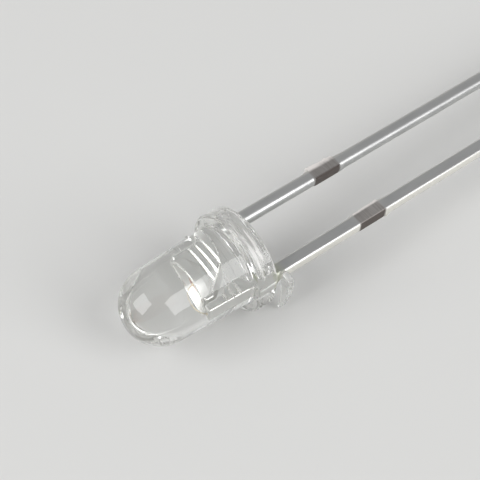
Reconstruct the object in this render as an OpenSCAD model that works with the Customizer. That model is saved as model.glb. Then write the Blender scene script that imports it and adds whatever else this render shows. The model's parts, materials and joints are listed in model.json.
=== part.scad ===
// Water-clear 3 mm through-hole LED, lying on a bench the way it comes to rest.
//
// Every piece is drawn in the lamp's own axes: X runs along the lens from the seating
// plane (x = 0) to the dome, Y runs across the two leads with the cathode at +Y, and Z
// is square to the plane of the leads. laid_down() then tips the whole lamp until the
// flange rim and both lead tips touch the bench, which is z = 0.

/* [Clear body] */
// Diameter of the flange
flange_d = 3.83; // [3.6:0.01:4.0]
// Thickness of the flange
flange_t = 0.8; // [0.7:0.05:1.1]
// Radius of the flange's moulded edges
flange_edge_r = 0.1; // [0.05:0.01:0.15]
// How much the cathode flat takes off the flange
flat_depth = 0.145; // [0.1:0.005:0.3]
// Diameter of the barrel where it leaves the flange
barrel_root_d = 3.1; // [3.0:0.01:3.14]
// Radius of the fillet between the barrel and the flange
root_fillet_r = 0.08; // [0.04:0.01:0.12]
// Radius of the dome
dome_r = 1.43; // [1.4:0.01:1.48]
// Height of the body, from the seating plane to the tip of the dome
body_h = 5.14; // [4.9:0.02:5.6]

/* [Leads] */
// Distance between the centres of the leads
lead_pitch = 2.54; // [2.5:0.01:2.58]
// Width of a lead, across the pair
lead_w = 0.45; // [0.4:0.01:0.5]
// Thickness of the lead frame strip
lead_t = 0.5; // [0.4:0.01:0.55]
// Radius of a lead's long edges
lead_edge_r = 0.1; // [0.03:0.01:0.12]
// Length of the anode lead below the seating plane
anode_l = 27; // [20:0.5:30]
// How much shorter the cathode lead is
cathode_short_by = 1.5; // [1:0.1:2]

/* [Cut tie bar] */
// Distance from the seating plane to the remains of the tie bar
tie_start = 4.15; // [3:0.05:6]
// Length of the tie bar's remains along the lead
tie_l = 1.2; // [0.8:0.05:1.5]
// How far the remains stand out at the side where they were torn (-Y)
tie_proud = 0.09; // [0.04:0.01:0.15]
// How far they stand out at the side where they were cut clean (+Y)
tie_trim = 0.02; // [0.01:0.005:0.05]
// How much thinner the pinched tie bar is, on each face
tie_pinch = 0.02; // [0.01:0.005:0.04]

/* [Reflector cup and post] */
// Height of the cup's rim above the seating plane
cup_rim_h = 2.63; // [2.5:0.01:2.8]
// Outer diameter of the cup
cup_d = 1.38; // [1.3:0.01:1.44]
// Diameter of the cup's mouth
cup_mouth_d = 1.16; // [1.0:0.01:1.2]
// Diameter of the cup's floor
cup_floor_d = 0.62; // [0.5:0.01:0.7]
// Depth of the cup
cup_depth = 0.38; // [0.3:0.01:0.42]
// Width of the anvil that carries the cup
anvil_w = 1.5; // [1.45:0.01:1.56]
// Height of the wire post's top above the seating plane
post_h = 2.64; // [2.5:0.01:2.8]
// Clearance between the anvil and the wire post
frame_gap = 0.1; // [0.08:0.01:0.15]
// Depth of epoxy over the lead frame at the barrel's wall
wall_cover = 0.22; // [0.16:0.01:0.25]
// Distance from the seating plane to the first coined groove
groove_start = 1.27; // [1.2:0.01:1.4]
// Distance between the coined grooves
groove_pitch = 0.29; // [0.25:0.01:0.32]
// Number of coined grooves
groove_n = 3; // [0:1:3]
// Width of a coined groove
groove_w = 0.11; // [0.06:0.01:0.14]
// Depth of a coined groove
groove_depth = 0.03; // [0.01:0.005:0.05]

/* [Chip and wire] */
// Side of the square chip
chip_w = 0.3; // [0.24:0.01:0.32]
// Height of the chip
chip_h = 0.2; // [0.15:0.01:0.22]
// Thickness of the conductive adhesive under the chip
paste_t = 0.03; // [0.02:0.005:0.04]
// Diameter of the adhesive's spread
paste_d = 0.46; // [0.44:0.01:0.47]
// Diameter of the bond wire
wire_d = 0.03; // [0.025:0.005:0.04]
// Height of the wire's loop above the chip and the post
loop_h = 0.42; // [0.3:0.02:0.5]

/* [Flash at the cathode lead] */
// How far the resin has crept along the lead
creep_l = 0.45; // [0.3:0.05:0.55]
// Thickness of the drip's fin
fin_t = 0.24; // [0.15:0.01:0.3]
// Distance from the seating plane to the front of the fin
fin_start = 0.36; // [0.3:0.01:0.4]

/* [Hidden] */

$fn = 64;
eps = 0.01;
arc_step = 4;

// Body, worked out from the driving sizes. The barrel's wall is a cone that leaves the
// flange at barrel_root_d and runs tangent into the dome.
flange_r = flange_d / 2;
flat_offset = flange_r - flat_depth;
root_r = barrel_root_d / 2;
dome_x = body_h - dome_r;
root_to_dome = dome_x - flange_t;
draft = acos(dome_r / norm([root_r, root_to_dome])) - atan2(root_to_dome, root_r);

// Leads
cathode_l = anode_l - cathode_short_by;
cathode_y = lead_pitch / 2;
anode_y = -lead_pitch / 2;
lead_out = lead_pitch / 2 + lead_w / 2;
lead_in = lead_pitch / 2 - lead_w / 2;
tie_end = tie_start + tie_l;

// Lead frame inside the body. Its outer sides lean inwards with the barrel's wall.
function barrel_r(x) = root_r - (x - flange_t) * tan(draft);
function frame_side(x) = sqrt(pow(barrel_r(x) - wall_cover, 2) - pow(lead_t / 2, 2));
shoulder_x = 0.55;
flare_x = 0.95;
cup_floor_x = cup_rim_h - cup_depth;
neck_x = 0.89 * cup_floor_x;
anvil_r = anvil_w / 2;
post_in = anvil_r + frame_gap;

// Chip and wire
chip_x = cup_floor_x + paste_t;
chip_top = chip_x + chip_h;
loop_top = max(chip_top, post_h) + loop_h;
ball_d = 3 * wire_d;
ball_h = 1.2 * wire_d;
foot_l = 4 * wire_d;
foot_t = 0.8 * wire_d;
post_pad_y = (post_in + frame_side(post_h)) / 2;
wire_sides = 8;
wire_rings = 20;

// Flash: the outline of the hardened drip, as seen along the lens axis
fin_outline = [
    [lead_out - 0.05, 0.20], [1.82, 0.30], [2.04, 0.24], [2.06, -0.12], [2.00, -0.55],
    [1.90, -1.05], [1.77, -1.50], [1.68, -1.66], [1.62, -1.52], [1.66, -0.95],
    [1.61, -0.50], [lead_out - 0.05, -0.34]
];
creep_base = 0.18;
creep_tip = 0.03;
nub_r = 0.09;
nub_x = 1.62;
nub_angle = 128;

// Rest pose. The flange rim and the two lead tips carry the lamp, so the body is tipped
// by the height of the rim over the length of the leads, and the shorter lead's side
// hangs a little lower.
reach = cathode_l + flange_edge_r + lead_out * cathode_short_by / lead_pitch;
tilt = atan((flange_r - lead_t / 2) / reach);
roll = asin(cathode_short_by * tan(tilt) / lead_pitch);
rest_h = flange_r * cos(tilt) - flange_edge_r * sin(tilt);
front_x = dome_x * cos(tilt) + dome_r;
tip_x = -anode_l * cos(tilt) - lead_t / 2 * sin(tilt);

// Points along an arc, both ends included
function arc(c, r, from, to) =
    let (n = max(2, ceil(abs(to - from) / arc_step)))
    [for (i = [0:n]) c + r * [cos(from + (to - from) * i / n), sin(from + (to - from) * i / n)]];

// Points of a rectangle with rounded corners, centred on c
function rounded_box(c, w, h, r) = concat(
    arc(c + [w / 2 - r, h / 2 - r], r, 0, 90),
    arc(c + [-w / 2 + r, h / 2 - r], r, 90, 180),
    arc(c + [-w / 2 + r, -h / 2 + r], r, 180, 270),
    arc(c + [w / 2 - r, -h / 2 + r], r, 270, 360)
);

// A point of the cubic curve through the control points p
function bezier(p, t) =
    pow(1 - t, 3) * p[0] + 3 * pow(1 - t, 2) * t * p[1] + 3 * (1 - t) * t * t * p[2] + pow(t, 3) * p[3];

// Tips a piece from the lamp's own axes into its rest pose on the bench, with the
// middle of its length over the origin
module laid_down() {
    translate([-(front_x + tip_x) / 2, 0, rest_h])
        rotate([-roll, -tilt, 0])
            children();
}

// Turns a shape drawn round Z so that it stands on the lens axis
module on_axis(x = 0) {
    translate([x, 0, 0])
        rotate([0, 90, 0])
            children();
}

// Extrudes an outline drawn as [y, z] along the lens axis, from x to x + l
module along_axis(x, l) {
    translate([x, 0, 0])
        rotate([90, 0, 90])
            linear_extrude(l)
                children();
}

// Extrudes an outline drawn as [x, y] through the lead frame strip
module stamped(t = lead_t) {
    translate([0, 0, -t / 2])
        linear_extrude(t)
            children();
}

// Half section of the moulded body, as [radius, height]
function body_section() =
    let (
        e = flange_edge_r,
        f = root_fillet_r,
        fillet_r = root_r - f * tan(draft) + f
    )
    concat(
        [[0, 0]],
        arc([flange_r - e, e], e, -90, 0),
        arc([flange_r - e, flange_t - e], e, 0, 90),
        arc([fillet_r, flange_t + f], f, -90, -180 + draft),
        arc([0, dome_x], dome_r, draft, 90)
    );

// Resin that crept out along the cathode lead and ran down as one hardened drip
module flash() {
    hull() {
        along_axis(-eps, 2 * eps)
            polygon(rounded_box([cathode_y, 0], lead_w + 2 * creep_base, lead_t + 2 * creep_base, creep_base));
        along_axis(-creep_l, eps)
            polygon(rounded_box([cathode_y, 0], lead_w + 2 * creep_tip, lead_t + 2 * creep_tip, lead_edge_r));
    }
    along_axis(-fin_start - fin_t, fin_t)
        polygon(fin_outline);
}

module body_form() {
    difference() {
        on_axis()
            rotate_extrude(convexity = 4)
                polygon(body_section());
        translate([-eps, flat_offset, -flange_d])
            cube([flange_t + root_fillet_r + eps, flange_d, 2 * flange_d]);
    }
    flash();
    rotate([nub_angle, 0, 0])
        translate([nub_x, barrel_r(nub_x) - nub_r / 2, 0])
            sphere(r = nub_r);
}

// One straight lead with the sheared remains of the tie bar
module lead_bar(y, l) {
    along_axis(-l, l + shoulder_x)
        polygon(rounded_box([y, 0], lead_w, lead_t, lead_edge_r));
    translate([-tie_end, y - lead_w / 2 - tie_proud, -lead_t / 2 + tie_pinch])
        cube([tie_l, tie_proud + lead_w + tie_trim, lead_t - 2 * tie_pinch]);
}

// Coined grooves across the upper face of the frame, from one side to the other
module grooves(from_y, to_y) {
    for (i = [0:1:groove_n - 1])
        translate([groove_start + i * groove_pitch, to_y, lead_t / 2])
            rotate([90, 0, 0])
                linear_extrude(to_y - from_y)
                    polygon([[-groove_w / 2 - eps, eps], [0, -groove_depth], [groove_w / 2 + eps, eps]]);
}

// Cathode: lead and wire post, stamped from one strip
module cathode_form() {
    difference() {
        union() {
            lead_bar(cathode_y, cathode_l);
            stamped()
                polygon([
                    [shoulder_x - eps, lead_in + lead_edge_r], [flare_x, 0.6 * lead_in],
                    [1.26 * flare_x, 0.54 * lead_in], [1.79 * flare_x, 0.8 * post_in],
                    [2 * flare_x, post_in], [post_h, post_in], [post_h, frame_side(post_h)],
                    [flare_x, frame_side(flare_x)], [shoulder_x - eps, lead_out - lead_edge_r]
                ]);
        }
        grooves(0, root_r);
    }
}

// Anode: lead, anvil and reflector cup, stamped from the same strip
module anode_form() {
    difference() {
        union() {
            lead_bar(anode_y, anode_l);
            stamped()
                polygon([
                    [shoulder_x - eps, -lead_in - lead_edge_r], [0.9 * flare_x, -0.95 * lead_in],
                    [0.98 * flare_x, -0.57 * lead_in], [1.08 * flare_x, -0.4 * anvil_r],
                    [1.3 * flare_x, 0], [1.02 * neck_x, 0.7 * anvil_r], [1.06 * neck_x, anvil_r],
                    [0.94 * cup_rim_h, anvil_r], [0.97 * cup_rim_h, 0.45 * cup_d],
                    [0.97 * cup_rim_h, -0.45 * cup_d], [0.94 * cup_rim_h, -anvil_r],
                    [1.52 * flare_x, -anvil_r], [1.2 * flare_x, -lead_in],
                    [flare_x, -frame_side(flare_x)], [shoulder_x - eps, -lead_out + lead_edge_r]
                ]);
            on_axis(neck_x)
                cylinder(h = cup_floor_x - neck_x, d1 = 0.6 * cup_d, d2 = 0.94 * cup_d);
            on_axis(cup_floor_x)
                cylinder(h = cup_depth, d1 = 0.94 * cup_d, d2 = cup_d);
        }
        on_axis(cup_floor_x)
            cylinder(h = cup_depth + eps, d1 = cup_floor_d, d2 = cup_mouth_d);
        grooves(-root_r, anvil_r);
    }
}

// The chip, adhesive and wire take a depth below their foot. It is 0 for the pieces, and the
// cavities in the body use it to run into the cavity of the piece below.
module chip_form(below = 0) {
    translate([chip_x - below, -chip_w / 2, -chip_w / 2])
        cube([chip_h + below, chip_w, chip_w]);
}

module paste_form(below = 0) {
    on_axis(cup_floor_x - below)
        cylinder(h = paste_t + below, d = paste_d);
}

// Wire: ball on the chip, one loop, stitch foot on the post
module wire_form(below = 0) {
    path = [
        [chip_top + ball_h / 2, 0], [loop_top, 0.02],
        [loop_top, 0.6 * post_pad_y], [post_h + foot_t / 2, post_pad_y]
    ];
    rings = [for (i = [0:wire_rings])
        let (
            t = i / wire_rings,
            p = bezier(path, t),
            ahead = bezier(path, min(1, t + 0.01)) - bezier(path, max(0, t - 0.01)),
            n = [-ahead[1], ahead[0]] / norm(ahead)
        )
        [for (k = [0:wire_sides - 1])
            let (a = 360 * k / wire_sides, s = wire_d / 2 * cos(a))
            [p[0] + n[0] * s, p[1] + n[1] * s, wire_d / 2 * sin(a)]]];
    faces = concat(
        [[for (k = [0:wire_sides - 1]) k]],
        [for (i = [0:wire_rings - 1], k = [0:wire_sides - 1])
            let (a = i * wire_sides, b = (k + 1) % wire_sides)
            [a + k, a + wire_sides + k, a + wire_sides + b, a + b]],
        [[for (k = [wire_sides - 1:-1:0]) wire_rings * wire_sides + k]]
    );
    polyhedron(points = [for (r = rings) each r], faces = faces, convexity = 4);
    on_axis(chip_top - below)
        cylinder(h = ball_h + below, d = ball_d, $fn = 24);
    translate([post_h - below, post_pad_y - foot_l / 2, -wire_d])
        cube([foot_t + below, foot_l, 2 * wire_d]);
}

module epoxy_body() {
    color([0.93, 0.94, 0.92, 0.35])
        laid_down()
            difference() {
                body_form();
                cathode_form();
                anode_form();
                chip_form(eps);
                paste_form(eps);
                wire_form(eps);
            }
}

module cathode_lead() {
    color([0.74, 0.74, 0.72])
        laid_down()
            cathode_form();
}

module anode_lead() {
    color([0.74, 0.74, 0.72])
        laid_down()
            anode_form();
}

module led_chip() {
    color([0.55, 0.33, 0.27])
        laid_down()
            chip_form();
}

module die_attach() {
    color([0.62, 0.61, 0.58])
        laid_down()
            paste_form();
}

module bond_wire() {
    color([0.88, 0.68, 0.32])
        laid_down()
            wire_form();
}

epoxy_body();
cathode_lead();
anode_lead();
led_chip();
die_attach();
bond_wire();
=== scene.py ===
"""A water-clear 3 mm through-hole lamp, lying on a pale studio floor.

Every piece is drawn in the lamp's own axes, in millimetres: X runs from the seating plane
up the lens, Y across the leads towards the cathode, and Z square to the plane of the leads.
"""

import json
import math

import bmesh
import bpy
from mathutils import Matrix, Vector, noise


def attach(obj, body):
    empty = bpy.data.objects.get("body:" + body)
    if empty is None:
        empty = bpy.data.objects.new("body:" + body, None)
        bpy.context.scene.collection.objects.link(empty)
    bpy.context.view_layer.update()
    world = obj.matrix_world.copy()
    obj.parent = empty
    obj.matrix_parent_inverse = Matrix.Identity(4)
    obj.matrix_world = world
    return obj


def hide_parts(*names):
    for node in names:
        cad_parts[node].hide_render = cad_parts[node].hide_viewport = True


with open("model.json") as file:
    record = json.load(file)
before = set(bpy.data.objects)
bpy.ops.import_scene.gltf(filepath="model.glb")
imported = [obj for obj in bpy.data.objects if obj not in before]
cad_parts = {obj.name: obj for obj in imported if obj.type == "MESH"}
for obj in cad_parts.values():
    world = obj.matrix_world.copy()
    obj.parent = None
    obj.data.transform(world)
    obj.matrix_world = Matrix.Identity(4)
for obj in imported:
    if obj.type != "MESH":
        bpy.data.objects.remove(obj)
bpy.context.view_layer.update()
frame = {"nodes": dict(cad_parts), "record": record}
MOUNTS = {m["name"]: m for m in frame["record"]["mounts"]}
MM = 0.001


def lamp_axes():
    """The matrix that puts the lamp's own axes, in mm, into the frame, in metres."""
    base = Vector(MOUNTS["seating_plane"]["pos_m"])
    along = -Vector(MOUNTS["seating_plane"]["axis"]).normalized()
    step = Vector(MOUNTS["flange_front"]["pos_m"]) - base
    square = (step - step.dot(along) * along).normalized()
    turn = Matrix((along, square.cross(along), square)).transposed().to_4x4()
    return Matrix.Translation(base) @ turn @ Matrix.Scale(MM, 4)


LAMP = lamp_axes()

# The cast body. Its flange takes its sizes from the part's own mounts
FLANGE_R = MOUNTS["flange_rim"]["dims"]["r_mm"]
FLANGE_T = (LAMP.inverted() @ Vector(MOUNTS["flange_front"]["pos_m"])).x
EDGE_R = (FLANGE_T - MOUNTS["flange_rim"]["dims"]["length_mm"]) / 2
FLAT_AT = FLANGE_R - 0.145  # the cathode flat's distance from the lens axis
FLAT_CORNER = 0.05
ROOT_R = 1.55  # the barrel's radius at the flange
FILLET_R = 0.08
DOME_R = 1.43
BODY_H = 5.14
BARREL_L = BODY_H - DOME_R - FLANGE_T
# The barrel's wall leans in so that it runs tangent into the dome
DRAFT = math.acos(DOME_R / math.hypot(ROOT_R, BARREL_L)) - math.atan2(BARREL_L, ROOT_R)

# The leads, and what is left of the tie bar that held them
PITCH = 2.54
LEAD_W = 0.45
LEAD_T = 0.5
LEAD_IN = (PITCH - LEAD_W) / 2
LEAD_OUT = (PITCH + LEAD_W) / 2
LEAD_EDGE = 0.1
ANODE_EDGE = 0.17  # the anode's upper corner is the rounder one
CORNER_SQUARING = 0.6  # how far the other corners are drawn out again
ANODE_L = 27.0
CATHODE_L = 25.5
LEAD_STEP = 0.04  # length of the swept faces
TIE_START = 4.15
TIE_L = 1.2
TIE_FADE = 0.05  # over which the remains begin and end
TIE_TRIM = 0.02  # how proud the cut side stands
TIE_PINCH = 0.02  # how much thinner the shears left the bar on each face
TIE_NECK = 0.45  # length of the soft flare beside the torn side
TIE_FLARE = 0.05

# The lead frame inside the body: anvil, cup and post, as heights and half widths
SHOULDER = 0.55  # where the leads end
FLARE = 0.95  # where the frame reaches the barrel's wall
CUP_RIM = 2.63
CUP_D = 1.38
CUP_MOUTH = 1.16
CUP_FLOOR = 0.62
CUP_DEPTH = 0.38
CUP_LOW = CUP_RIM - CUP_DEPTH
CUP_NECK = 0.89 * CUP_LOW
ANVIL_R = 0.75
POST_H = 2.64
POST_IN = 0.85
WALL_COVER = 0.22  # epoxy between the frame and the barrel's wall
DIE_ROLL = 0.06
GROOVES = (1.27, 1.56, 1.85)
GROOVE_W = 0.18
GROOVE_DEPTH = 0.035
GROOVE_TAPER = 0.35  # their depth on the far side, as a share
ON_AXIS = 0.001  # where a turned section starts and ends

# Chip, adhesive and wire
PASTE_T = 0.03
PASTE_R = 0.23
CHIP_H = 0.2
CHIP_TOP = CUP_LOW + PASTE_T + CHIP_H
WIRE_D = 0.026
LOOP_H = 0.42

SILVERED = (0.84, 0.84, 0.82)
BURNISHED = (0.98, 0.98, 0.96)
TINNED = (0.66, 0.665, 0.66)
DULL_TIN = (0.56, 0.565, 0.565)
# Painted highlight: the cream that the cathode's flank and the far upper corners are lightened to
PAINTED_HIGHLIGHT_TIN = (0.97, 0.955, 0.90)
SHEARED = (0.47, 0.45, 0.435)
STRIPED = (0.38, 0.36, 0.345)
# Painted shade: the cut side's dark brown is partly bare steel and partly painted shade
CUT_SIDE_SHADE = (0.11, 0.093, 0.085)
# Partly painted highlight: the torn lip is near-white, fresh metal brightened as a painted glint
TORN_LIP_GLINT = (0.88, 0.84, 0.81)
CRYSTAL = (0.45, 0.2, 0.14)
DARK_CRYSTAL = (0.38, 0.15, 0.10)
PALE_CRYSTAL = (0.55, 0.30, 0.22)
PASTE = (0.7, 0.69, 0.66)
GOLD = (0.92, 0.82, 0.62)
FLOOR = (0.66, 0.66, 0.65)
EPOXY = (0.985, 0.99, 0.975)
EPOXY_INDEX = 1.54
# Painted highlight: the whitish streaks laid over the flange's rim
STREAK_HIGHLIGHT = (0.97, 0.955, 0.94)
FILM = (0.66, 0.68, 0.55)
# How strongly the painted highlight streaks are laid over the rim
HIGHLIGHT_VEIL = 0.45  # how much of the flange's surface its densest streaks hide


class Sock:
    """An output socket that can be written in sums."""

    def __init__(self, tree, socket):
        self.tree, self.socket = tree, socket

    def out(self, name):
        """Another output of the same node."""
        return Sock(self.tree, self.socket.node.outputs[name])

    def __add__(self, other):
        return self.tree.maths("ADD", self, other)

    def __radd__(self, other):
        return self.tree.maths("ADD", other, self)

    def __sub__(self, other):
        return self.tree.maths("SUBTRACT", self, other)

    def __rsub__(self, other):
        return self.tree.maths("SUBTRACT", other, self)

    def __mul__(self, other):
        return self.tree.maths("MULTIPLY", self, other)

    def __rmul__(self, other):
        return self.tree.maths("MULTIPLY", other, self)

    def __truediv__(self, other):
        return self.tree.maths("DIVIDE", self, other)

    def __neg__(self):
        return self.tree.maths("MULTIPLY", self, -1.0)


class Tree:
    """A node tree written as expressions. It serves materials and geometry alike."""

    def __init__(self, group):
        self.group = group

    def node(self, kind, settings=None, sockets=None, out=0):
        """Adds a node: its settings first, then the values or links of its sockets."""
        made = self.group.nodes.new(kind)
        for name, value in (settings or {}).items():
            if name == "stops":
                ramp_stops(made.color_ramp, value)
            else:
                setattr(made, name, value)
        for name, value in (sockets or {}).items():
            if isinstance(value, Sock):
                self.link(value, made.inputs[name])
            else:
                made.inputs[name].default_value = value
        return Sock(self, made.outputs[out]) if len(made.outputs) else made

    def link(self, value, socket):
        self.group.links.new(value.socket, socket)

    def maths(self, operation, *values):
        return self.node("ShaderNodeMath", {"operation": operation}, dict(enumerate(values)))

    def most(self, a, b):
        return self.maths("MAXIMUM", a, b)

    def between(self, value, low, high, smooth=True):
        """0 below low, 1 above high."""
        kind = "SMOOTHSTEP" if smooth else "LINEAR"
        sockets = {"Value": value, "From Min": low, "From Max": high}
        return self.node("ShaderNodeMapRange", {"interpolation_type": kind}, sockets)

    def blend(self, factor, a, b):
        """A colour that goes from a to b with the factor."""
        a, b = (colour if isinstance(colour, Sock) else (*colour, 1.0) for colour in (a, b))
        return self.node("ShaderNodeMix", {"data_type": "RGBA"}, {0: factor, 6: a, 7: b}, out=2)

    def parts(self, vector):
        """The X, Y and Z of a vector."""
        split = self.node("ShaderNodeSeparateXYZ", {}, {"Vector": vector})
        return [split.out(axis) for axis in "XYZ"]

    def joined(self, **parts):
        """The vector of some of X, Y and Z."""
        return self.node("ShaderNodeCombineXYZ", {}, parts)


def ramp_stops(ramp, stops):
    """Sets a colour ramp's stops, each a place and a grey level."""
    while len(ramp.elements) < len(stops):
        ramp.elements.new(0.5)
    for element, (place, level) in zip(ramp.elements, stops):
        element.position = place
        element.color = (level, level, level, 1.0)


class Finish(Tree):
    """A material around one Principled shader, with the lamp's own axes in mm at hand."""

    def __init__(self, name, colour, **constants):
        self.material = bpy.data.materials.new(name)
        self.material.use_nodes = True
        super().__init__(self.material.node_tree)
        self.shader = self.group.nodes["Principled BSDF"]
        self.shader.inputs["Base Color"].default_value = (*colour, 1.0)
        for key, value in constants.items():
            self.shader.inputs[key.replace("_", " ")].default_value = value

    def place(self, stretch=(1.0, 1.0, 1.0)):
        """Object coordinates turned into the lamp's axes, in mm, then squeezed by stretch."""
        coords = self.node("ShaderNodeTexCoord").out("Object")
        axes = {"Vector": coords, "Location": LAMP.to_translation(),
                "Rotation": LAMP.to_euler(), "Scale": (MM,) * 3}
        local = self.node("ShaderNodeMapping", {"vector_type": "TEXTURE"}, axes)
        return self.node("ShaderNodeMapping", {}, {"Vector": local, "Scale": stretch})

    def grain(self, scale, detail=3.0, stretch=(1.0, 1.0, 1.0), rough=0.5):
        """Noise of about scale features to a mm, squeezed along the lamp's axes."""
        sockets = {"Vector": self.place(stretch), "Scale": scale, "Detail": detail,
                   "Roughness": rough}
        return self.node("ShaderNodeTexNoise", {}, sockets)

    def mark(self, name):
        """How much of a mark the mesh carries, from 0 to 1."""
        return self.node("ShaderNodeAttribute", {"attribute_name": name}).out("Fac")

    def feed(self, socket, value):
        self.link(value, self.shader.inputs[socket])

    def veil(self, factor, colour, roughness):
        """Lays a dull second surface over the first by factor."""
        dull = {"Base Color": (*colour, 1.0), "Roughness": roughness}
        over = self.node("ShaderNodeBsdfPrincipled", {}, dull)
        clear = Sock(self, self.shader.outputs[0])
        mixed = self.node("ShaderNodeMixShader", {}, {0: factor, 1: clear, 2: over})
        self.link(mixed, self.group.nodes["Material Output"].inputs["Surface"])

    def bump(self, height, depth_mm, strength=1.0):
        """Raises the surface by height, at most depth_mm."""
        sockets = {"Height": height, "Distance": depth_mm * MM, "Strength": strength}
        self.feed("Normal", self.node("ShaderNodeBump", {}, sockets))


def clear_epoxy():
    """Water-clear cast epoxy: polished dome, painted highlight streaks in the flange, dull broken
    drip.
    """
    finish = Finish("clear_epoxy", EPOXY, Roughness=0.02, IOR=EPOXY_INDEX,
                    Transmission_Weight=1.0)
    along, across, _ = finish.parts(finish.place())
    smudges = finish.between(finish.grain(1.6, detail=4.0), 0.52, 0.72)
    rings = finish.grain(2.2, detail=2.0, stretch=(3.2, 0.45, 0.45))
    flange = 1.0 - finish.between(along, FLANGE_T, FLANGE_T + 0.3)
    broken = 1.0 - finish.between(along, -0.3, -0.12)
    finish.feed("Roughness", 0.004 + smudges * 0.03 + flange * rings * 0.05 + broken * 0.1)

    # Painted highlights: whitish streaks, standing in for the lamps caught in the moulding's
    # ripples, run round the rim and stop at the cathode flat
    painted_streaks = finish.between(finish.grain(1.7, stretch=(3.4, 0.32, 0.32), rough=0.6), 0.5, 0.64)
    rim = flange * finish.between(along, -0.05, 0.05)
    rim = rim * (1.0 - finish.between(across, FLAT_AT - 0.06, FLAT_AT - 0.02))
    finish.veil(painted_streaks * rim * HIGHLIGHT_VEIL, STREAK_HIGHLIGHT, roughness=0.3)

    ripple = finish.grain(0.9, detail=1.0) * 0.4 + rings * flange * 1.1
    ripple = ripple + broken * finish.grain(6.0) * 0.7
    finish.bump(ripple, depth_mm=0.012, strength=0.6)
    return finish.material


def tinned_steel():
    """Tinned strip with fine drawn lines, bare and striped where the tie bar was sheared off."""
    finish = Finish("tinned_steel", TINNED)
    along, across, _ = finish.parts(finish.place())
    shear, cut, torn = (finish.mark(name) for name in ("sheared", "cut", "torn"))
    drawn = finish.grain(7.0, detail=4.0, stretch=(0.12, 1.0, 1.0))
    patches = finish.grain(1.1, stretch=(0.5, 1.0, 1.0))
    chatter = finish.grain(12.0, detail=2.0, stretch=(1.6, 0.12, 0.12))

    # Tin with dull patches and painted highlights on the cathode's flank and the far upper
    # corners, the resin's film at its root, silver in the body
    dull = finish.between(patches, 0.35, 0.7)
    tin = finish.blend(dull, TINNED, DULL_TIN)
    tin = finish.blend(finish.mark("bright"), tin, PAINTED_HIGHLIGHT_TIN)
    film = finish.between(along, -0.8, -0.3) * finish.between(across, 0.0, 0.1)
    tin = finish.blend(film * 0.7, tin, FILM)
    inside = finish.between(along, -0.1, 0.05)
    tin = finish.blend(inside, tin, SILVERED)

    bare = finish.blend(finish.between(chatter, 0.3, 0.7), STRIPED, SHEARED)
    # The torn lip goes near-white: fresh metal with a painted glint
    bare = finish.blend(torn, bare, TORN_LIP_GLINT)
    # The cut side goes dark, partly bare steel and partly painted shade
    finish.feed("Base Color", finish.blend(cut, finish.blend(shear, tin, bare), CUT_SIDE_SHADE))
    finish.feed("Metallic", 1.0 - cut * 0.5 - torn * 0.6 - inside * 0.4)
    finish.feed("Roughness", 0.3 + drawn * 0.12 + dull * 0.08 + shear * 0.12 - film * 0.1)
    finish.bump(drawn * 0.35 + shear * chatter * 0.6, depth_mm=0.008)
    return finish.material


def silvered_frame():
    """Satin silver plating on the lead frame in the body, brightest where the die pressed it."""
    finish = Finish("silvered_frame", SILVERED)
    pressed = finish.mark("burnished")
    drawn = finish.grain(8.0, stretch=(0.2, 1.0, 1.0))
    finish.feed("Base Color", finish.blend(pressed, SILVERED, BURNISHED))
    finish.feed("Metallic", 0.6 + pressed * 0.4)
    finish.feed("Roughness", 0.34 + drawn * 0.16 - pressed * 0.16)
    finish.bump(drawn, depth_mm=0.006, strength=0.6)
    return finish.material


def chip_crystal():
    """Sawn crystal with a reddish cast."""
    finish = Finish("chip_crystal", CRYSTAL, IOR=2.6)
    sawn = finish.grain(30.0, detail=2.0)
    finish.feed("Base Color", finish.blend(sawn, DARK_CRYSTAL, PALE_CRYSTAL))
    finish.feed("Roughness", 0.2 + sawn * 0.25)
    return finish.material


def silver_paste():
    """Silver-filled adhesive, matt and grainy."""
    finish = Finish("silver_paste", PASTE, Metallic=0.6)
    flakes = finish.grain(40.0, detail=2.0)
    finish.feed("Roughness", 0.4 + flakes * 0.3)
    finish.bump(flakes, depth_mm=0.004)
    return finish.material


def drawn_gold():
    """Drawn gold wire."""
    finish = Finish("drawn_gold", GOLD, Metallic=1.0)
    finish.feed("Roughness", 0.18 + finish.grain(30.0, detail=2.0) * 0.15)
    return finish.material


# Making meshes

def in_scene(name, data):
    """A new object of the scene that shows data."""
    made = bpy.data.objects.new(name, data)
    bpy.context.scene.collection.objects.link(made)
    return made


def place_piece(name, mesh, materials, node):
    """Moves a mesh into the frame as a piece that stands for a node and has a slot's finish."""
    mesh.transform(LAMP)
    mesh.update()
    for material in materials:
        mesh.materials.append(material)
    piece = in_scene(name, mesh)
    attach(piece, "root")
    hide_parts(node)


def mesh_of(name, work):
    """A mesh from a bmesh, which is freed."""
    mesh = bpy.data.meshes.new(name)
    work.to_mesh(mesh)
    work.free()
    return mesh


def settled(holder):
    """A plain mesh of an object with its modifiers applied. The object itself goes."""
    depsgraph = bpy.context.evaluated_depsgraph_get()
    mesh = bpy.data.meshes.new_from_object(holder.evaluated_get(depsgraph))
    bpy.data.objects.remove(holder)
    return mesh


def boolean(target, other, operation):
    """Joins or cuts target with other, both in the lamp's axes, and returns a new mesh."""
    holder, tool = in_scene("boolean_target", target), in_scene("boolean_tool", other)
    modifier = holder.modifiers.new("boolean", "BOOLEAN")
    modifier.operation, modifier.solver, modifier.object = operation, "EXACT", tool
    shaped = settled(holder)
    bpy.data.objects.remove(tool)
    return shaped


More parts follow.
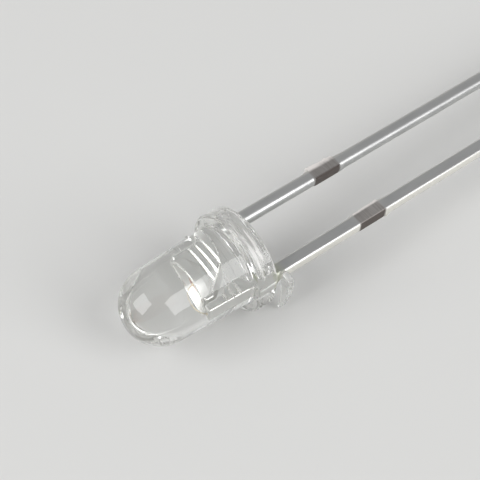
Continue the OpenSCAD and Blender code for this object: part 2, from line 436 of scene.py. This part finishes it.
def skinned(name, rows):
    """A closed mesh over rows of points, each row a ring, with a fan over either end."""
    count = len(rows[0])
    points = [point for row in rows for point in row]
    faces = []
    for i in range(len(rows) - 1):
        low, high = i * count, (i + 1) * count
        for j in range(count):
            k = (j + 1) % count
            faces.append((low + j, low + k, high + k, high + j))
    for end in (0, len(rows) - 1):
        hub = len(points)
        points.append(sum((Vector(point) for point in rows[end]), Vector()) / count)
        faces += [(hub, end * count + (j + 1) % count, end * count + j) for j in range(count)]
    mesh = bpy.data.meshes.new(name)
    mesh.from_pydata(points, [], faces)
    work = bmesh.new()
    work.from_mesh(mesh)
    bmesh.ops.remove_doubles(work, verts=work.verts, dist=1e-5)
    bmesh.ops.recalc_face_normals(work, faces=work.faces)
    work.to_mesh(mesh)
    work.free()
    return mesh


def joined_mesh(name, meshes, sharp):
    """Puts several meshes into one, shaded smooth but for edges past sharp degrees."""
    work = bmesh.new()
    for mesh in meshes:
        work.from_mesh(mesh)
    joined = mesh_of(name, work)
    joined.shade_smooth()
    joined.set_sharp_from_angle(angle=math.radians(sharp))
    return joined


def stamped_plate(outline, thickness, edge):
    """A plate with softened edges, from an outline of (x, y) points."""
    work = bmesh.new()
    base = work.faces.new([work.verts.new((x, y, -thickness / 2)) for x, y in outline])
    top = bmesh.ops.extrude_face_region(work, geom=[base])["geom"]
    rise = [item for item in top if isinstance(item, bmesh.types.BMVert)]
    bmesh.ops.translate(work, verts=rise, vec=(0, 0, thickness))
    bmesh.ops.recalc_face_normals(work, faces=work.faces)
    bmesh.ops.bevel(work, geom=work.edges[:], offset=edge, segments=6, affect="EDGES",
                    profile=0.5)
    return mesh_of("stamped_plate", work)


def lumps(point, fineness, falloff):
    """Fractal noise of three octaves, of about fineness lumps to a unit."""
    return noise.fractal(point * fineness, falloff, 2.0, 3)


def full_turn(count):
    """Angles that divide a circle."""
    return [2 * math.pi * j / count for j in range(count)]


def turned(section, count=96):
    """A solid turned round the lens axis, from (radius, height) points that end on the axis."""
    return skinned("turned", [
        [(height, radius * math.cos(a), radius * math.sin(a)) for a in full_turn(count)]
        for radius, height in section])


def arc(centre, radius, start, end, steps):
    """Points of an arc in the plane of a section, angles in degrees."""
    angles = (math.radians(start + (end - start) * i / steps) for i in range(steps + 1))
    return [(centre[0] + radius * math.cos(a), centre[1] + radius * math.sin(a)) for a in angles]


# The cast body

RING_POINTS = 240
BASE_RINGS = 60
EDGE_STEPS = 8
FILLET_STEPS = 6
WALL_STEPS = 24
DOME_STEPS = 48
LAST_RING = 89  # degrees up the dome, where a fan closes it

# Resin that crept out along the leads: the lead's Y, its climb, and how fast it falls off
CREEP = ((PITCH / 2, 0.42, 0.09), (-PITCH / 2, 0.1, 0.1))

# The hardened drip: (z, inner y, outer y) down its length, then its faces along X
DRIP = (
    (0.28, 1.55, 1.86), (0.22, 1.42, 2.04), (0.06, 1.40, 2.07), (-0.14, 1.40, 2.08),
    (-0.34, 1.50, 2.06), (-0.55, 1.61, 2.02), (-0.80, 1.64, 1.98), (-1.05, 1.66, 1.91),
    (-1.30, 1.65, 1.85), (-1.50, 1.62, 1.79), (-1.64, 1.63, 1.72),
)
DRIP_FRONT = -0.36
DRIP_BACK = -0.60
DRIP_STEPS = 6
DRIP_POINTS = 28
DRIP_SQUARENESS = 0.35  # the power that squares its section, 1 would leave it round
DRIP_CHIPS = 0.035

# Beads: along the lens axis, angle from +Y, distance from the axis, and half sizes along,
# round and out
NUB = (1.62, 148, 1.475, (0.09, 0.09, 0.09))
BUBBLE = (0.5, 34, 1.72, (0.13, 0.2, 0.09))
BEAD_LUMPS = 0.12


def body_section():
    """Half section of the body as (radius, height), from the rim's back edge to the tip."""
    draft = math.degrees(DRAFT)
    edge_at = FLANGE_R - EDGE_R
    fillet_at = ROOT_R - FILLET_R * math.tan(DRAFT) + FILLET_R
    section = arc((edge_at, EDGE_R), EDGE_R, -90, 0, EDGE_STEPS)
    section += arc((edge_at, FLANGE_T - EDGE_R), EDGE_R, 0, 90, EDGE_STEPS)
    section += arc((fillet_at, FLANGE_T + FILLET_R), FILLET_R, -90, -180 + draft, FILLET_STEPS)
    dome = arc((0, BODY_H - DOME_R), DOME_R, draft, LAST_RING, DOME_STEPS)
    foot, top = section[-1], dome[0]
    for i in range(1, WALL_STEPS):
        share = i / WALL_STEPS
        section.append(tuple(low + (high - low) * share for low, high in zip(foot, top)))
    return section + dome


def cut_by_flat(radius, angle):
    """The radius at an angle from +Y once the cathode flat has been cut, with a soft corner."""
    facing = math.cos(angle)
    if facing < 0.1:  # the flat never reaches so far round
        return radius
    plane = FLAT_AT / facing
    share = min(1.0, max(0.0, 0.5 + 0.5 * (plane - radius) / FLAT_CORNER))
    return plane + (radius - plane) * share - FLAT_CORNER * share * (1 - share)


def creep(y, z):
    """How far the resin has crept out along the leads at a point of the base."""
    height = 0.0
    for lead_y, climb, spread in CREEP:
        beside_y = max(0.0, abs(y - lead_y) - LEAD_W / 2)
        beside_z = max(0.0, abs(z) - LEAD_T / 2)
        height = max(height, climb * math.exp(-math.hypot(beside_y, beside_z) / spread))
    return height


def body_rows():
    """Rings from the middle of the base out to its edge, then up the section."""
    section = body_section()
    base_r = section[0][0]
    rows = []
    for i in range(1, BASE_RINGS):
        ring = []
        for a in full_turn(RING_POINTS):
            r = cut_by_flat(base_r, a) * i / BASE_RINGS
            y, z = r * math.cos(a), r * math.sin(a)
            ring.append((-creep(y, z), y, z))
        rows.append(ring)
    for radius, height in section:
        ring = []
        for a in full_turn(RING_POINTS):
            r = cut_by_flat(radius, a)
            ring.append((height, r * math.cos(a), r * math.sin(a)))
        rows.append(ring)
    return rows


def drip_rows():
    """Squarish rings down the drip, chipped along its outer edge."""
    rows = []
    for i in range((len(DRIP) - 1) * DRIP_STEPS + 1):
        k = min(i // DRIP_STEPS, len(DRIP) - 2)
        share = i / DRIP_STEPS - k
        z, low, high = (a + (b - a) * share for a, b in zip(DRIP[k], DRIP[k + 1]))
        centre = Vector(((DRIP_FRONT + DRIP_BACK) / 2, (low + high) / 2, z))
        ring = []
        for a in full_turn(DRIP_POINTS):
            x, y = (math.copysign(abs(at) ** DRIP_SQUARENESS, at)
                    for at in (math.sin(a), math.cos(a)))
            p = centre + Vector((x * (DRIP_FRONT - DRIP_BACK) / 2, y * (high - low) / 2, 0))
            chip = lumps(p, 7, 0.6) * DRIP_CHIPS * max(0.0, y)
            ring.append(p + Vector((0.3 * chip, chip, 0)))
        rows.append(ring)
    return rows


def bead(along, angle, radius, sizes):
    """A small lumpy ellipsoid at an angle round the lens axis."""
    along_size, round_size, out_size = sizes
    work = bmesh.new()
    bmesh.ops.create_icosphere(work, subdivisions=4, radius=1.0)
    for vert in work.verts:
        vert.co *= 1.0 + BEAD_LUMPS * lumps(vert.co, 1.3, 0.7)
    at = Matrix.Rotation(math.radians(angle), 4, "X") @ Matrix.Translation((along, radius, 0))
    squash = Matrix.Diagonal((along_size, out_size, round_size, 1.0))
    bmesh.ops.transform(work, verts=work.verts, matrix=at @ squash)
    return mesh_of("bead", work)


def make_body():
    """The cast body with its drip, its nub and the bubble by the cathode lead."""
    body = boolean(skinned("epoxy_cast", body_rows()), skinned("epoxy_drip", drip_rows()), "UNION")
    body = boolean(body, bead(*NUB), "UNION")
    body = boolean(body, bead(*BUBBLE), "DIFFERENCE")
    body.name = "clear_body"
    body.shade_smooth()
    place_piece("clear_body", body, [clear_epoxy()], "epoxy_body")


# Leads: a rounded bar swept along the lamp, roughened where the tie bar was sheared off

def swept_bar(tree, size):
    """A bar with rounded edges from inside the body to the lead's tip."""
    start = tree.joined(X=size.out("Top"), Y=size.out("Side"))
    end = tree.joined(X=-size.out("Length"), Y=size.out("Side"))
    line = tree.node("GeometryNodeCurvePrimitiveLine", {}, {"Start": start, "End": end})
    run = tree.node("GeometryNodeResampleCurve", {"mode": "LENGTH"},
                    {"Curve": line, "Length": LEAD_STEP})
    profile = tree.node("GeometryNodeCurvePrimitiveQuadrilateral", {},
                        {"Width": size.out("Thickness"), "Height": size.out("Width")})
    rounded = tree.node("GeometryNodeFilletCurve", {"mode": "POLY"},
                        {"Curve": profile, "Radius": size.out("Edge Radius"), "Count": 6})
    return tree.node("GeometryNodeCurveToMesh", {},
                     {"Curve": run, "Profile Curve": rounded, "Fill Caps": True})


def lead_tree(tin):
    """Geometry nodes that sweep one lead. Its inputs are sizes in mm."""
    group = bpy.data.node_groups.new("swept_lead", "GeometryNodeTree")
    usual = {"Top": SHOULDER + 0.1, "Length": ANODE_L, "Side": 0.0, "Width": LEAD_W,
             "Thickness": LEAD_T, "Edge Radius": LEAD_EDGE, "Bright Flank": 0.0,
             "Tie Start": TIE_START, "Tie Length": TIE_L, "Torn Near": 0.1, "Torn Far": 0.1,
             "Trim": TIE_TRIM, "Pinch": TIE_PINCH, "Burr": 0.03, "Seed": 0.0}
    for name, value in usual.items():
        socket = group.interface.new_socket(name, in_out="INPUT", socket_type="NodeSocketFloat")
        socket.default_value = value
    group.interface.new_socket("Geometry", in_out="OUTPUT", socket_type="NodeSocketGeometry")
    tree = Tree(group)
    size = tree.node("NodeGroupInput")
    shaped = swept_bar(tree, size)

    # Where a point lies: from the tie bar's start and end, and past the flats into a corner
    place = tree.node("GeometryNodeInputPosition")
    along, y, square = tree.parts(place)
    across = y - size.out("Side")
    depth = -along - size.out("Tie Start")
    past = depth - size.out("Tie Length")
    edge = size.out("Edge Radius")
    from_y = tree.most(tree.maths("ABSOLUTE", across) - size.out("Width") * 0.5 + edge, 0.0)
    from_z = tree.most(tree.maths("ABSOLUTE", square) - size.out("Thickness") * 0.5 + edge, 0.0)
    on_side = tree.between(from_y, 0.0, edge, smooth=False)
    cut_side = tree.maths("GREATER_THAN", across, 0.0)
    torn_side = 1.0 - cut_side
    upper = tree.maths("GREATER_THAN", square, 0.0)
    lower = tree.maths("LESS_THAN", square, 0.0)
    sheared = tree.between(depth, -TIE_FADE, TIE_FADE) - tree.between(past, -TIE_FADE, TIE_FADE)

    # Where the tie bar was, the rounded corners are drawn out to sharp ones. Elsewhere they are
    # drawn out in part, but for the upper one on the cathode's side
    reach = tree.most(tree.most(from_y, from_z), 0.001)
    squared = CORNER_SQUARING * (1.0 - cut_side * upper)
    pull = (edge / reach - 1.0) * tree.most(sheared, squared)

    # One side was torn and stands out ragged above a soft flare, the other was cut clean
    torn_near, torn_far = size.out("Torn Near"), size.out("Torn Far")
    torn = torn_near + (torn_far - torn_near) * (depth / size.out("Tie Length"))
    ragged = tree.node("ShaderNodeTexNoise", {"noise_dimensions": "4D"},
                       {"Vector": place, "W": size.out("Seed"), "Scale": 7.0, "Detail": 4.0})
    proud = torn * (0.9 + (ragged - 0.5) * 2.0) * torn_side + size.out("Trim") * cut_side
    neck = tree.between(depth, -TIE_NECK, 0.0) - tree.between(past, 0.0, TIE_NECK)
    proud = proud * sheared + TIE_FLARE * neck * torn_side

    # A burr hangs from the lower edge where the cut ends
    burr = tree.between(past, 0.02, 0.06) * (1.0 - tree.between(past, 0.06, 0.32, smooth=False))
    burr = size.out("Burr") * burr * cut_side * lower * on_side
    out_y = from_y * pull + proud * on_side + burr
    out_z = from_z * pull - size.out("Pinch") * sheared + burr * 0.8
    moved = tree.joined(Y=tree.maths("SIGN", across) * out_y, Z=tree.maths("SIGN", square) * out_z)
    shaped = tree.node("GeometryNodeSetPosition", {}, {"Geometry": shaped, "Offset": moved})

    # What the finish reads: the bare metal, the cut side painted dark (bare steel and painted
    # shade), the torn lip painted near-white (fresh metal and a painted glint), and the painted
    # highlights on the far corners and the cathode's flank
    # Painted highlight: the cathode's +Y flank and the upper corner on the torn side of both leads
    # are painted lighter
    painted_flank = cut_side * tree.between(from_y - from_z, 0.0, edge) * size.out("Bright Flank")
    painted_far_corner = torn_side * upper * tree.between(from_y, 0.3 * edge, 0.8 * edge)
    marks = {"sheared": sheared,
             # The cut side is marked for its dark colour, which is partly painted shade
             "cut": cut_side * sheared * tree.maths("GREATER_THAN", from_y - from_z, 0.01),
             # The torn lip is marked for its near-white colour, which is partly a painted glint
             "torn": torn_side * sheared * tree.between(from_y, 0.55 * edge, edge),
             "bright": painted_flank + painted_far_corner * 0.8}
    for name, value in marks.items():
        shaped = tree.node("GeometryNodeStoreNamedAttribute",
                           {"data_type": "FLOAT", "domain": "POINT"},
                           {"Geometry": shaped, "Name": name, "Value": value})
    real = tree.node("GeometryNodeRealizeInstances", {}, {"Geometry": shaped})
    painted = tree.node("GeometryNodeSetMaterial", {}, {"Geometry": real, "Material": tin})
    tree.node("NodeGroupOutput", {}, {"Geometry": painted})
    return group


def swept_lead(group, sizes):
    """A plain mesh of one lead, made by the geometry nodes."""
    holder = in_scene("lead_holder", bpy.data.meshes.new("lead_holder"))
    modifier = holder.modifiers.new("lead", "NODES")
    modifier.node_group = group
    for item in group.interface.items_tree:
        if item.in_out == "INPUT" and item.name in sizes:
            modifier[item.identifier] = sizes[item.name]
    return settled(holder)


# The lead frame inside the body

def frame_side(x):
    """How far out the lead frame reaches inside the barrel at a height."""
    barrel_r = ROOT_R - (x - FLANGE_T) * math.tan(DRAFT)
    return math.sqrt((barrel_r - WALL_COVER) ** 2 - (LEAD_T / 2) ** 2)


def anvil_outline():
    """The anvil's outline as (x, y), from its lead up the post's side and down the other."""
    return [
        (SHOULDER, -LEAD_IN - LEAD_EDGE), (0.9 * FLARE, -0.95 * LEAD_IN),
        (0.98 * FLARE, -0.57 * LEAD_IN), (1.08 * FLARE, -0.4 * ANVIL_R), (1.3 * FLARE, 0),
        (1.02 * CUP_NECK, 0.7 * ANVIL_R), (1.06 * CUP_NECK, ANVIL_R),
        (0.94 * CUP_RIM, ANVIL_R), (0.97 * CUP_RIM, 0.45 * CUP_D),
        (0.97 * CUP_RIM, -0.45 * CUP_D), (0.94 * CUP_RIM, -ANVIL_R),
        (1.52 * FLARE, -ANVIL_R), (1.2 * FLARE, -LEAD_IN), (FLARE, -frame_side(FLARE)),
        (SHOULDER, LEAD_EDGE - LEAD_OUT)]


def post_outline():
    """The wire post's outline as (x, y), from its lead up the anvil's side and down the other."""
    return [
        (SHOULDER, LEAD_IN + LEAD_EDGE), (FLARE, 0.6 * LEAD_IN), (1.26 * FLARE, 0.54 * LEAD_IN),
        (1.79 * FLARE, 0.8 * POST_IN), (2 * FLARE, POST_IN), (POST_H, POST_IN),
        (POST_H, frame_side(POST_H)), (FLARE, frame_side(FLARE)),
        (SHOULDER, LEAD_OUT - LEAD_EDGE)]


def cup_and_seat():
    """The reflector cup with its rounded lip, and the solid that makes room for it."""
    lip_r = (CUP_D - CUP_MOUTH) / 4
    lip = (CUP_D / 2 - lip_r, CUP_RIM - lip_r)
    wall = [(ON_AXIS, CUP_NECK), (0.3 * CUP_D, CUP_NECK), (0.47 * CUP_D, CUP_LOW)]
    wall += arc(lip, lip_r, 0, 90, EDGE_STEPS)
    bowl = arc(lip, lip_r, 90, 180, EDGE_STEPS)[1:] + [
        (CUP_FLOOR / 2 + 0.02, CUP_LOW + 0.01), (CUP_FLOOR / 2 - 0.01, CUP_LOW),
        (ON_AXIS, CUP_LOW)]
    return turned(wall + bowl), turned(wall + [(ON_AXIS, CUP_RIM)])


def groove_cutters(low, high):
    """Prisms that cut the coined grooves from low to high across the lamp, shallowest at low."""
    top = LEAD_T / 2
    above = 0.02
    work = bmesh.new()
    for x in GROOVES:
        ends = []
        for y, share in ((low, GROOVE_TAPER), (high, 1.0)):
            deep = share * GROOVE_DEPTH
            wide = (deep + above) * GROOVE_W / GROOVE_DEPTH / 2
            section = ((x - wide, top + above), (x, top - deep), (x + wide, top + above))
            ends.append([work.verts.new((at, y, z)) for at, z in section])
        near, far = ends
        work.faces.new(near)
        work.faces.new(far)
        for i in range(3):
            work.faces.new((near[i - 1], near[i], far[i], far[i - 1]))
    bmesh.ops.recalc_face_normals(work, faces=work.faces)
    return mesh_of("groove_cutters", work)


def silvered(mesh, rim=None):
    """Gives a mesh the frame's finish, the second of its stamping, and marks what the die
    pressed bright: the grooves' walls and the rounded edges, or all above a rim's height."""
    marks = mesh.attributes.new("burnished", "FLOAT", "FACE")
    for face, mark in zip(mesh.polygons, marks.data):
        face.material_index = 1
        pressed = 0.15 < abs(face.normal.z) < 0.995 if rim is None else face.center.x > rim
        mark.value = 1.0 if pressed else 0.0
    return mesh


def make_leads():
    """Both stampings: each a swept lead with its share of the silvered frame."""
    tin, silver = tinned_steel(), silvered_frame()
    group = lead_tree(tin)
    cup, seat = cup_and_seat()
    anvil = boolean(stamped_plate(anvil_outline(), LEAD_T, DIE_ROLL), seat, "DIFFERENCE")
    anvil = boolean(anvil, groove_cutters(-1.5, ANVIL_R + 0.1), "DIFFERENCE")
    post = stamped_plate(post_outline(), LEAD_T, DIE_ROLL)
    post = boolean(post, groove_cutters(0.3, 1.5), "DIFFERENCE")
    # Only the cathode has its flank painted with a highlight
    cathode = swept_lead(group, {
        "Length": CATHODE_L, "Side": PITCH / 2, "Bright Flank": 1.0,
        "Torn Near": 0.03, "Torn Far": 0.08, "Burr": 0.06, "Seed": 2.0})
    anode = swept_lead(group, {
        "Length": ANODE_L, "Side": -PITCH / 2, "Edge Radius": ANODE_EDGE,
        "Torn Near": 0.17, "Torn Far": 0.09, "Seed": 7.0})
    stampings = (
        ("cathode_stamping", "cathode_lead", [cathode, silvered(post)]),
        ("anode_stamping", "anode_lead", [anode, silvered(anvil), silvered(cup, CUP_RIM - 0.1)]))
    for name, node, meshes in stampings:
        mesh = joined_mesh(name, meshes, sharp=17)
        place_piece(name, mesh, [tin, silver], node)


# Chip, adhesive and wire

WIRE_STEPS = 48
WIRE_SIDES = 16
# The ball's section: radius and height over the chip
BALL = ((ON_AXIS, 0), (0.036, 0), (0.045, 0.01), (0.045, 0.024), (0.034, 0.036), (ON_AXIS, 0.038))
BALL_SIDES = 32
STITCH_FOOT = 0.06  # half its length across the post
STITCH_TOP = 0.045
STITCH_H = 0.024
WIRE_START = 0.018  # over the chip, in the ball
WIRE_END = 0.012  # over the post, in the stitch


def bezier(points, t):
    """The point of a cubic curve at t, from 0 to 1."""
    p, q, r, s = (Vector(point) for point in points)
    return (1 - t) ** 3 * p + 3 * (1 - t) ** 2 * t * q + 3 * (1 - t) * t * t * r + t ** 3 * s


def wire_rows(path):
    """Rings along a wire that follows a curve in the plane of the leads."""
    rows = []
    beside = 0.01
    for i in range(WIRE_STEPS + 1):
        t = i / WIRE_STEPS
        ahead = bezier(path, min(1, t + beside)) - bezier(path, max(0, t - beside))
        ahead.normalize()
        side = Vector((-ahead.y, ahead.x, 0))
        rows.append([
            bezier(path, t) + WIRE_D / 2 * (side * math.cos(a) + Vector((0, 0, math.sin(a))))
            for a in full_turn(WIRE_SIDES)])
    return rows


def make_wire():
    """The bond wire from its ball on the chip to its stitch on the post."""
    pad_y = (POST_IN + frame_side(POST_H)) / 2
    loop_top = max(CHIP_TOP, POST_H) + LOOP_H
    wire = skinned("wire", wire_rows([
        (CHIP_TOP + WIRE_START, 0, 0), (loop_top, 0.02, 0),
        (loop_top, 0.6 * pad_y, 0), (POST_H + WIRE_END, pad_y, 0)]))
    ball = turned([(radius, CHIP_TOP + height) for radius, height in BALL], BALL_SIDES)
    stitch = stamped_plate([
        (POST_H, pad_y - STITCH_FOOT), (POST_H + STITCH_H, pad_y - STITCH_TOP),
        (POST_H + STITCH_H, pad_y + STITCH_TOP), (POST_H, pad_y + STITCH_FOOT)],
        thickness=2 * WIRE_D, edge=0.006)
    mesh = joined_mesh("gold_bond", [wire, ball, stitch], sharp=50)
    place_piece("gold_bond", mesh, [drawn_gold()], "bond_wire")


def make_paste():
    """The adhesive as a flat drop with a rounded edge."""
    top = CUP_LOW + PASTE_T
    mesh = turned([(ON_AXIS, CUP_LOW), (PASTE_R, CUP_LOW), (PASTE_R - 0.01, CUP_LOW + 0.012),
                   (PASTE_R - 0.05, top), (ON_AXIS, top)], count=48)
    mesh.shade_smooth()
    place_piece("adhesive", mesh, [silver_paste()], "die_attach")


def finish_chip():
    """The chip keeps the solid's own shape and takes the crystal's finish."""
    crystal = chip_crystal()
    for slot in frame["nodes"]["led_chip"].material_slots:
        slot.material = crystal


# Studio, in metres, the lens in mm

AIM = Vector((0.01065, -0.00058, 0.0019))
CAMERA_BACK = Vector((0.3708, 0.46588, 0.8034))  # from the lamp towards the camera
CAMERA_AWAY = 0.05177
CAMERA_LENS = 109.38
SOFTBOX_AWAY = 0.45
FLOOR_REACH = 1.5
SKY = ((0.0, 0.68), (0.3, 0.46), (0.7, 0.38), (1.0, 0.34))  # greys, from level to straight up
LIGHT_BOUNCES = 40  # light is trapped many times over in the clear body


def facing_lamp(name, data, back, away):
    """A camera or light that looks back at the lamp from a place away from it."""
    holder = in_scene(name, data)
    holder.location = AIM + back.normalized() * away
    holder.rotation_mode = "QUATERNION"
    holder.rotation_quaternion = back.to_track_quat("Z", "Y")
    return holder


def softbox(name, azimuth, elevation, size, power):
    """A soft light placed by its direction in degrees, of width and height."""
    light = bpy.data.lights.new(name, "AREA")
    light.shape, light.energy = "RECTANGLE", power
    light.size, light.size_y = size
    a, e = math.radians(azimuth), math.radians(elevation)
    back = Vector((math.cos(a) * math.cos(e), math.sin(a) * math.cos(e), math.sin(e)))
    facing_lamp(name, light, back, SOFTBOX_AWAY)


def make_camera():
    """The photograph's camera: level, 53.5 degrees above the floor."""
    data = bpy.data.cameras.new("camera")
    data.sensor_width = 36.0
    data.lens = CAMERA_LENS
    data.clip_start = 0.001
    bpy.context.scene.camera = facing_lamp("camera", data, CAMERA_BACK, CAMERA_AWAY)


def make_floor():
    """A pale matt floor."""
    square = ((-1, -1), (1, -1), (1, 1), (-1, 1))
    corners = [(x * FLOOR_REACH, y * FLOOR_REACH, 0) for x, y in square]
    floor = bpy.data.meshes.new("floor")
    floor.from_pydata(corners, [], [(0, 1, 2, 3)])
    floor.materials.append(Finish("studio_floor", FLOOR, Roughness=0.85).material)
    holder = in_scene("floor", floor)


def make_sky():
    """Even light from all round, brightest near the horizon."""
    world = bpy.data.worlds.new("studio")
    world.use_nodes = True
    sky = Tree(world.node_tree)
    up = sky.parts(sky.node("ShaderNodeTexCoord").out("Generated"))[2]
    shade = sky.node("ShaderNodeValToRGB", {"stops": SKY}, {"Fac": up})
    sky.link(shade, world.node_tree.nodes["Background"].inputs["Color"])
    bpy.context.scene.world = world


def make_studio():
    """The floor, two soft lights and the sky, all shown without a tone curve."""
    make_floor()
    softbox("right_softbox", azimuth=-12, elevation=35, size=(0.34, 0.34), power=1.5)
    softbox("left_softbox", azimuth=109, elevation=36, size=(0.26, 0.38), power=1.15)
    make_sky()
    bpy.context.scene.view_settings.view_transform = "Standard"
    for kind in ("max", "transmission", "glossy"):
        setattr(bpy.context.scene.cycles, kind + "_bounces", LIGHT_BOUNCES)


make_camera()
make_body()
make_leads()
make_wire()
make_paste()
finish_chip()
make_studio()
